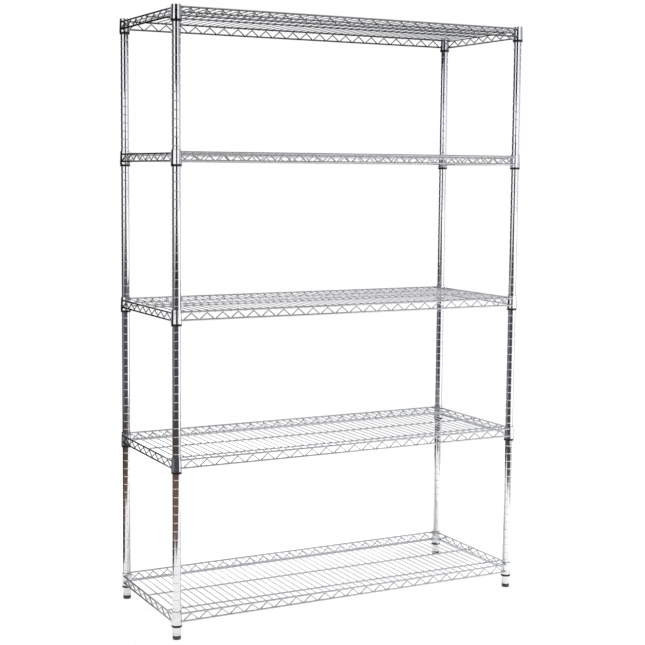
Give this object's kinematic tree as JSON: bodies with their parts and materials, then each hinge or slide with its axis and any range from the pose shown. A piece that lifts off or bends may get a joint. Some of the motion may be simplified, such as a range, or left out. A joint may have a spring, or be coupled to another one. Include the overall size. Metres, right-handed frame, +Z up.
{
  "type": "wire shelving rack",
  "caption": "Free-standing chrome wire rack: grooved round posts on levelling feet carry welded open-wire shelves on tapered collars that slide down over split sleeves.",
  "frame": {"origin": "on the floor, below the middle of the rack", "axes": "+Z up, +X along the shelves to the right seen from the front, +Y from the front to the back"},
  "size_m": [1.21, 0.459, 1.8382],
  "materials": {
    "post_chrome": "bright chrome plate on grooved steel tube",
    "collar_chrome": "bright chrome plate on formed steel",
    "wire_chrome": "bright chrome plate on drawn steel wire, dull at the welds",
    "sleeve_plastic": "black moulded plastic",
    "foot_plastic": "black moulded plastic, fine grain",
    "insert_plastic": "dark grey moulded plastic",
    "cap_plastic": "grey moulded plastic, slightly glossy",
    "stud_zinc": "zinc-plated threaded steel"
  },
  "bodies": {
    "posts": {"foot_insert_front_left": "insert_plastic", "foot_insert_front_right": "insert_plastic", "foot_insert_rear_left": "insert_plastic", "foot_insert_rear_right": "insert_plastic", "post_cap_front_left": "cap_plastic", "post_cap_front_right": "cap_plastic", "post_cap_rear_left": "cap_plastic", "post_cap_rear_right": "cap_plastic", "post_front_left": "post_chrome", "post_front_right": "post_chrome", "post_rear_left": "post_chrome", "post_rear_right": "post_chrome", "sleeves_1": "sleeve_plastic", "sleeves_2": "sleeve_plastic", "sleeves_3": "sleeve_plastic", "sleeves_4": "sleeve_plastic", "sleeves_5": "sleeve_plastic"},
    "shelf_1": {"shelf_1_collars": "collar_chrome", "shelf_1_deck_wires": "wire_chrome", "shelf_1_front_truss": "wire_chrome", "shelf_1_left_truss": "wire_chrome", "shelf_1_rear_truss": "wire_chrome", "shelf_1_right_truss": "wire_chrome", "shelf_1_stringers": "wire_chrome"},
    "shelf_2": {"shelf_2_collars": "collar_chrome", "shelf_2_deck_wires": "wire_chrome", "shelf_2_front_truss": "wire_chrome", "shelf_2_left_truss": "wire_chrome", "shelf_2_rear_truss": "wire_chrome", "shelf_2_right_truss": "wire_chrome", "shelf_2_stringers": "wire_chrome"},
    "shelf_3": {"shelf_3_collars": "collar_chrome", "shelf_3_deck_wires": "wire_chrome", "shelf_3_front_truss": "wire_chrome", "shelf_3_left_truss": "wire_chrome", "shelf_3_rear_truss": "wire_chrome", "shelf_3_right_truss": "wire_chrome", "shelf_3_stringers": "wire_chrome"},
    "shelf_4": {"shelf_4_collars": "collar_chrome", "shelf_4_deck_wires": "wire_chrome", "shelf_4_front_truss": "wire_chrome", "shelf_4_left_truss": "wire_chrome", "shelf_4_rear_truss": "wire_chrome", "shelf_4_right_truss": "wire_chrome", "shelf_4_stringers": "wire_chrome"},
    "shelf_5": {"shelf_5_collars": "collar_chrome", "shelf_5_deck_wires": "wire_chrome", "shelf_5_front_truss": "wire_chrome", "shelf_5_left_truss": "wire_chrome", "shelf_5_rear_truss": "wire_chrome", "shelf_5_right_truss": "wire_chrome", "shelf_5_stringers": "wire_chrome"},
    "foot_front_left": {"foot_stud_front_left": "stud_zinc", "foot_pad_front_left": "foot_plastic"},
    "foot_front_right": {"foot_stud_front_right": "stud_zinc", "foot_pad_front_right": "foot_plastic"},
    "foot_rear_left": {"foot_stud_rear_left": "stud_zinc", "foot_pad_rear_left": "foot_plastic"},
    "foot_rear_right": {"foot_stud_rear_right": "stud_zinc", "foot_pad_rear_right": "foot_plastic"}
  },
  "joints": [
    {"name": "shelf_1_lift", "type": "slide", "parent": "posts", "child": "shelf_1", "axis": [0, 0, 1], "range_m": [0, 0.409]},
    {"name": "shelf_2_lift", "type": "slide", "parent": "posts", "child": "shelf_2", "axis": [0, 0, 1], "range_m": [0, 0.383]},
    {"name": "shelf_3_lift", "type": "slide", "parent": "posts", "child": "shelf_3", "axis": [0, 0, 1], "range_m": [0, 0.409]},
    {"name": "shelf_4_lift", "type": "slide", "parent": "posts", "child": "shelf_4", "axis": [0, 0, 1], "range_m": [0, 0.358]},
    {"name": "shelf_5_lift", "type": "slide", "parent": "posts", "child": "shelf_5", "axis": [0, 0, 1], "range_m": [0, 0.12]},
    {"name": "foot_front_left_level", "type": "slide", "parent": "posts", "child": "foot_front_left", "axis": [0, 0, -1], "range_m": [0, 0.02]},
    {"name": "foot_front_right_level", "type": "slide", "parent": "posts", "child": "foot_front_right", "axis": [0, 0, -1], "range_m": [0, 0.02]},
    {"name": "foot_rear_left_level", "type": "slide", "parent": "posts", "child": "foot_rear_left", "axis": [0, 0, -1], "range_m": [0, 0.02]},
    {"name": "foot_rear_right_level", "type": "slide", "parent": "posts", "child": "foot_rear_right", "axis": [0, 0, -1], "range_m": [0, 0.02]}
  ]
}
